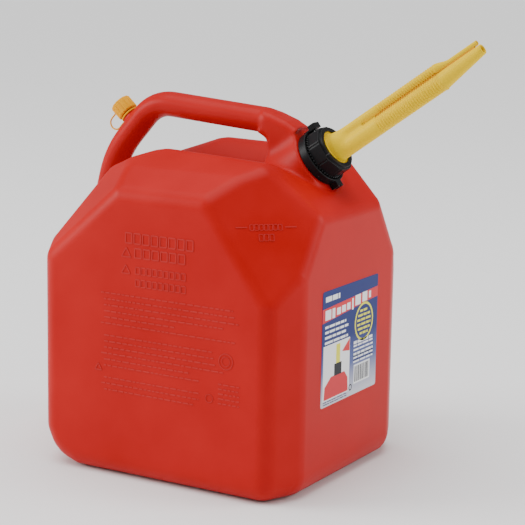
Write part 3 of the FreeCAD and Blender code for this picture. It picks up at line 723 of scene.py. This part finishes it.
def make_breather_tip():
    """The breather's end: it narrows over a short stretch and then runs on beside the nozzle."""
    stations, narrow = [], 2.7
    for step in range(11):
        share = step / 10
        eased = share * share * (3 - 2 * share)
        radius = BREATHER_RADIUS + (narrow - BREATHER_RADIUS) * eased
        stations.append((BELLOWS_TOP + 19 * share, radius, BREATHER + (BREATHER_RADIUS - radius)))
    stations.append((225.6, narrow, BREATHER + (BREATHER_RADIUS - narrow)))
    points, faces = swept_tube(stations, 0.9, 48)
    tip = make_piece("breather_end", points, faces, YELLOW, "spout_end", CLOSURE)
    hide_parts("breather_tip")


# ---------------------------------------------------------------- vent cap


def make_vent_cap():
    """The vent cap: broad ribs down its side and a rounded top edge."""
    bore, outer, rim, top, inside_top = 8, 12, 4.4, 20.6, 17.6
    outline = [(bore, rim), (outer, rim), (outer, top), (0.01, top), (0.01, inside_top), (bore, inside_top)]
    outline = rounded_outline(outline, 1.6, 6)

    def shape(radius, level, angle):
        if radius < 10.4 or level > 20.3:
            return radius
        rib = 0.5 + 0.5 * math.cos(14 * angle)
        return radius - 0.45 + 0.95 * min(1, rib * 1.6)

    points, faces = lathe(outline, 336, shape)
    # Drawn in the shaded yellow: the cap's orange is a painted shade on yellow plastic.
    cap = make_piece("cap", points, faces, SHADED_YELLOW, "vent", VENT)
    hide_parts("vent_cap")


def make_vent_ring():
    """The tether's ring round the foot of the vent nipple."""
    outline = rounded_outline([(7.3, 0.8), (11.2, 0.8), (11.2, 2.8), (7.3, 2.8)], 0.5, 3)
    points, faces = lathe(outline, 72)
    # Drawn in the shaded yellow: the ring's orange is a painted shade on yellow plastic.
    ring = make_piece("vent_collar", points, faces, SHADED_YELLOW, "can", VENT)
    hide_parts("vent_ring")


def make_tether():
    """The strand between the cap and its ring."""
    high, low, thick = 16.6, 1.8, 0.9
    ring_side, cap_side, turn_start = 11.2, 12.0, 21.5
    radius = (high - low) / 2
    line = [Vector((-ring_side - (turn_start - ring_side) * t / 6, 0, low)) for t in range(7)]
    for step in range(1, 24):
        angle = math.pi * step / 24
        level = low + radius - radius * math.cos(angle)
        line.append(Vector((-turn_start - radius * math.sin(angle), 0, level)))
    line += [Vector((-turn_start + (turn_start - cap_side) * t / 6, 0, high)) for t in range(7)]
    points, faces, sections = [], [], 12
    for index, spot in enumerate(line):
        ahead = line[min(index + 1, len(line) - 1)] - line[max(index - 1, 0)]
        side = Vector((0, 1, 0))
        out = ahead.normalized().cross(side)
        for section in range(sections):
            angle = 2 * math.pi * section / sections
            points.append(spot + out * thick * math.cos(angle) + side * thick * math.sin(angle))
    for index in range(len(line) - 1):
        for section in range(sections):
            after = (section + 1) % sections
            faces.append((index * sections + section, index * sections + after,
                          (index + 1) * sections + after, (index + 1) * sections + section))
    faces.append(tuple(range(sections))[::-1])
    faces.append(tuple((len(line) - 1) * sections + s for s in range(sections)))
    # Drawn in the shaded yellow: the tether's orange is a painted shade on yellow plastic.
    piece = make_piece("tether", points, faces, SHADED_YELLOW, None, VENT)
    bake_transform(piece)
    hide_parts("vent_tether")


# ---------------------------------------------------------------- label print


def label_shapes(name, shapes, mat, layer):
    """Flat printed shapes on the label, given as fractions of its width and height from the top left."""
    points, faces = [], []
    face_x = FRONT + 0.31 + 0.04 * layer
    for shape in shapes:
        start = len(points)
        for across, down in shape:
            points.append((face_x, LABEL_SIZE * (across - 0.5), LABEL_TOP - LABEL_SIZE * down))
        faces.append(tuple(range(start, len(points)))[::-1])
    make_piece(name, points, faces, mat, "can", smooth=False)


def rectangle(left, top, right, bottom):
    return [(left, top), (right, top), (right, bottom), (left, bottom)]


def word_row(left, right, top, height, words):
    """A row of plain dashes of uneven length."""
    shapes, at = [], left
    while at < right - 0.01:
        width = min(random.uniform(0.6, 1.4) * (right - left) / words, right - at)
        shapes.append(rectangle(at, top, at + width, top + height))
        at += width + 0.012
    return shapes


def ring_shape(across, down, outer, inner, sections=48):
    """A flat ring as a run of quads."""
    shapes = []
    for section in range(sections):
        a, b = 2 * math.pi * section / sections, 2 * math.pi * (section + 1) / sections
        shapes.append([(across + outer * math.cos(a), down + outer * math.sin(a)),
                       (across + outer * math.cos(b), down + outer * math.sin(b)),
                       (across + inner * math.cos(b), down + inner * math.sin(b)),
                       (across + inner * math.cos(a), down + inner * math.sin(a))])
    return shapes


def make_label_print():
    """The label's print: a band, blocks and dashes in place of words, a small picture and bars."""
    band = [(0.0, 0.15), (1.0, 0.11), (1.0, 0.20), (0.80, 0.21), (0.0, 0.27)]
    label_shapes("label_band", [band], RED_INK, 1)
    label_shapes("label_picture_ground", [rectangle(0.03, 0.47, 0.50, 0.95)], WHITE_INK, 1)
    white = word_row(0.05, 0.30, 0.05, 0.045, 2)
    blocks = ((0.05, 0.10, 0.165, 0.085), (0.17, 0.05, 0.165, 0.085), (0.25, 0.07, 0.175, 0.06),
              (0.34, 0.07, 0.17, 0.06), (0.43, 0.06, 0.165, 0.06), (0.52, 0.03, 0.14, 0.10),
              (0.58, 0.10, 0.125, 0.09), (0.71, 0.09, 0.12, 0.085), (0.83, 0.04, 0.13, 0.06))
    for left, width, top, height in blocks:
        white.append(rectangle(left, top, left + width, top + height))
    for row in range(4):
        white += word_row(0.05, 0.42 + 0.04 * (row % 2), 0.30 + 0.045 * row, 0.022, 4)
    for row in range(6):
        white += word_row(0.57, 0.93, 0.53 + 0.035 * row, 0.016 if row % 3 else 0.026, 4)
    white.append(rectangle(0.58, 0.74, 0.88, 0.91))
    label_shapes("label_white", white, WHITE_INK, 2)
    yellow = ring_shape(0.75, 0.38, 0.17, 0.15)
    for row in range(6):
        half = math.sqrt(max(0.0, 0.125 ** 2 - (row * 0.04 - 0.10) ** 2))
        yellow += word_row(0.75 - half, 0.75 + half, 0.27 + row * 0.04, 0.02, 3)
    label_shapes("label_yellow", yellow, YELLOW_INK, 2)
    spout = [(0.255, 0.49), (0.325, 0.49), (0.325, 0.665), (0.255, 0.665)]
    label_shapes("label_picture_spout", [spout], YELLOW_INK, 2)
    flag = [(0.36, 0.57), (0.495, 0.48), (0.495, 0.59)]
    can = [(0.05, 0.94), (0.06, 0.83), (0.17, 0.755), (0.41, 0.755), (0.47, 0.82), (0.48, 0.94)]
    label_shapes("label_picture_can", [flag, can], RED_INK, 2)
    bars, at = [], 0.60
    while at < 0.86:
        width = random.choice((0.006, 0.01, 0.016))
        bars.append(rectangle(at, 0.755, at + width, 0.895))
        at += width + random.choice((0.007, 0.011))
    label_shapes("label_bars", bars, BLACK_INK, 3)
    collar = [rectangle(0.225, 0.655, 0.355, 0.76)]
    label_shapes("label_picture_collar", collar, BLACK_INK, 3)
    dark = []
    for row in range(2):
        dark += word_row(0.04, 0.46, 0.955 + 0.02 * row, 0.008, 5)
        dark += word_row(0.57, 0.93, 0.655 + 0.035 * row, 0.014, 4)
    label_shapes("label_small_rows", dark, NAVY_INK, 2)
    label_shapes("label_round_mark", ring_shape(0.525, 0.925, 0.03, 0.018, 24), BLACK_INK, 2)


# ---------------------------------------------------------------- moulded marks on the tank


def raised_marks(name, marks, place, height=0.55, slope=0.35):
    """Raised shapes with sloping sides on a plane. place's Z is the plane's outward direction."""
    points, faces = [], []
    for outline in marks:
        count, start = len(outline), len(points)
        middle = (sum(x for x, _ in outline) / count, sum(y for _, y in outline) / count)
        for level, inset in ((-0.4, 0), (height * 0.6, slope * 0.3), (height, slope)):
            for x, y in outline:
                off = Vector((x - middle[0], y - middle[1]))
                keep = max(0.0, 1 - inset / max(off.length, 1e-6))
                points.append((middle[0] + off.x * keep, middle[1] + off.y * keep, level))
        for ring in range(2):
            for index in range(count):
                after = (index + 1) % count
                a = start + ring * count
                faces.append((a + index, a + after, a + count + after, a + count + index))
        faces.append(tuple(start + 2 * count + index for index in range(count)))
        faces.append(tuple(start + index for index in range(count))[::-1])
    make_piece(name, points, faces, RED, "can", place, smooth=False)


def bar_mark(left, right, low, high):
    return [(left, low), (right, low), (right, high), (left, high)]


def frame_marks(outline, width):
    """The sides of an outline as separate bars, for an open triangle or ring."""
    marks = []
    for a, b in zip(outline, outline[1:] + outline[:1]):
        run = Vector(b) - Vector(a)
        side = Vector((-run.y, run.x)).normalized() * width / 2
        start, end = Vector(a), Vector(b)
        marks.append([tuple(start - side), tuple(end - side), tuple(end + side), tuple(start + side)])
    return marks


def dash_row(left, right, low, tall, longest):
    """A moulded row of plain dashes of uneven length, standing for a line of small lettering."""
    marks, at = [], left
    while at < right - 1.5:
        width = min(random.uniform(0.35, 1.0) * longest, right - at)
        marks.append(bar_mark(at, at + width, low, low + tall))
        at += width + tall * 0.9
    return marks


def block_row(left, right, low, tall, count, width):
    """A moulded row of plain open blocks, standing for a line of large lettering."""
    marks, step = [], (right - left) / count
    for block in range(count):
        a, b = left + block * step, left + (block + 0.76) * step
        marks += frame_marks([(a, low), (b, low), (b, low + tall), (a, low + tall)], width)
    return marks


def ring_marks(across, level, radius, width, sides=20):
    """A moulded ring as separate bars."""
    turns = [2 * math.pi * side / sides for side in range(sides)]
    return frame_marks([(across + radius * math.cos(t), level + radius * math.sin(t)) for t in turns], width)


def side_marks():
    """The block of moulded rows, triangles and round marks on the broad side."""
    marks = block_row(-34, 54, 262, 11, 8, 1.3) + block_row(-22, 44, 247, 10, 6, 1.3)
    marks += block_row(-21, 44, 229.5, 7.5, 9, 1.0) + block_row(-21, 44, 216, 7.5, 9, 1.0)
    for left, low, side in ((-39, 247, 12), (-39, 229, 11), (-74, 118, 9)):
        marks += frame_marks([(left, low), (left + side, low), (left + side / 2, low + side * 0.85)], 1.1)
    ends = (101, 103, 108, 89, 29, 104, 0, 76, 78, 80, 90, 49, 62, 0, 60, 60, 53)
    for row, right in enumerate(ends):
        if right:
            marks += dash_row(-62 if row % 5 else -66, right, 204 - row * 6.7, 1.5, 9)
    marks += ring_marks(93, 150, 8.5, 1.2) + ring_marks(93, 150, 5.0, 1.0)
    marks += ring_marks(73, 107.5, 4.5, 1.0, 16)
    for row in range(5):
        marks += dash_row(84, 110, 124 - row * 5.2, 1.5, 8)
    place = Matrix(((1, 0, 0, 0), (0, 0, -1, -HALF_WIDTH), (0, 1, 0, 0), (0, 0, 0, 1)))
    raised_marks("moulded_rows", marks, place)


def level_mark():
    """The fill line on the near front facet: a line, a gap with plain blocks, and a line."""
    a, b, c = [Vector((x, -y, z)) for x, y, z in FRONT_FACET]
    normal = (b - a).cross(c - a).normalized()
    if normal.z < 0:
        normal = -normal
    across = Vector((0, 0, 1)).cross(normal).normalized()
    up = normal.cross(across)
    centre = a * 0.35 + b * 0.20 + c * 0.45 + up * 8
    place = Matrix((across, up, normal)).transposed().to_4x4()
    place.translation = centre
    marks = [bar_mark(-32, -20, 0, 1.3), bar_mark(20, 32, 0, 1.3)]
    marks += block_row(-17, 18, -2.5, 6, 7, 0.9) + block_row(-8, 9, -14, 7, 3, 0.9)
    raised_marks("level_mark", marks, place, 0.5)


# ---------------------------------------------------------------- build

skin = make_tank_skin()
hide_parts("tank")
make_neck()
make_nipple()
make_collar()
softened("latch_ring", "can", BLACK, 0.45)
softened("latch_tab", "latch", BLACK, 0.35)
make_spout_base()
make_bellows("pour_corrugated", "pour_bellows", POUR_RADIUS, POUR, 86)
make_bellows("breather_corrugated", "breather_bellows", BREATHER_RADIUS, BREATHER, 93)
make_web("bellows_web", 85, 171.5)
make_nozzle()
make_breather_tip()
make_web("tip_web", 171, 221, "spout_end")
make_vent_cap()
make_vent_ring()
make_tether()
make_label_print()
side_marks()
level_mark()

for node, finish in (("front_label", label_material()), ("spout_gasket", RUBBER), ("vent_cap_seal", RUBBER)):
    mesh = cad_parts[node].data
    mesh.materials.clear()
    mesh.materials.append(finish)

# ---------------------------------------------------------------- floor, light and camera


def make_floor():
    mesh = bpy.data.meshes.new("floor")
    reach, level = 40.0, -0.0005
    mesh.from_pydata([(-reach, -reach, level), (reach, -reach, level), (reach, reach, level),
                      (-reach, reach, level)], [], [(0, 1, 2, 3)])
    paper = bpy.data.materials.new("pale_floor")
    paper.use_nodes = True
    shader = paper.node_tree.nodes["Principled BSDF"]
    shader.inputs["Base Color"].default_value = (0.88, 0.88, 0.88, 1)
    shader.inputs["Roughness"].default_value = 0.9
    shader.inputs["Specular IOR Level"].default_value = 0.0
    mesh.materials.append(paper)
    floor = bpy.data.objects.new("floor", mesh)
    bpy.context.scene.collection.objects.link(floor)


def area_light(name, place, target, size, power):
    data = bpy.data.lights.new(name, "AREA")
    data.shape = "RECTANGLE"
    data.size, data.size_y = size
    data.energy = power
    lamp = bpy.data.objects.new(name, data)
    lamp.location = place
    lamp.rotation_euler = (Vector(target) - Vector(place)).to_track_quat("-Z", "Y").to_euler()
    bpy.context.scene.collection.objects.link(lamp)


def overhead_light(strength):
    """A broad light from above, which lights the floor evenly out to the horizon."""
    data = bpy.data.lights.new("overhead", "SUN")
    data.energy = strength
    data.angle = math.radians(60)
    lamp = bpy.data.objects.new("overhead", data)
    lamp.rotation_euler = (math.radians(8), math.radians(-6), 0)
    bpy.context.scene.collection.objects.link(lamp)


def make_world():
    world = bpy.data.worlds.new("studio")
    world.use_nodes = True
    soft = world.node_tree.nodes["Background"]
    soft.inputs["Color"].default_value = (1, 1, 1, 1)
    soft.inputs["Strength"].default_value = 0.32
    bpy.context.scene.world = world


def make_camera():
    """About 2 m away, 30.5 degrees round from the broad side, looking slightly down."""
    azimuth, pitch, roll = math.radians(30.5), math.radians(11.2), math.radians(1.0)
    level_forward = Vector((-math.sin(azimuth), math.cos(azimuth), 0))
    forward = level_forward * math.cos(pitch) - Vector((0, 0, math.sin(pitch)))
    right = Vector((math.cos(azimuth), math.sin(azimuth), 0))
    up = right.cross(forward)
    tilted_right = right * math.cos(roll) + up * math.sin(roll)
    tilted_up = up * math.cos(roll) - right * math.sin(roll)
    data = bpy.data.cameras.new("camera")
    data.sensor_width = 36
    data.lens = 122.06
    data.clip_end = 50
    camera = bpy.data.objects.new("camera", data)
    place = Matrix((tilted_right, tilted_up, -forward)).transposed().to_4x4()
    place.translation = Vector((1.0345, -1.670, 0.611))
    camera.matrix_world = place
    bpy.context.scene.collection.objects.link(camera)
    bpy.context.scene.camera = camera


make_floor()
make_world()
overhead_light(3.0)
area_light("key", (-2.6, -1.7, 1.5), (0, 0, 0.2), (1.6, 1.6), 80)
area_light("far_side", (2.7, 1.3, 1.4), (0.1, 0, 0.2), (1.5, 1.6), 50)
make_camera()
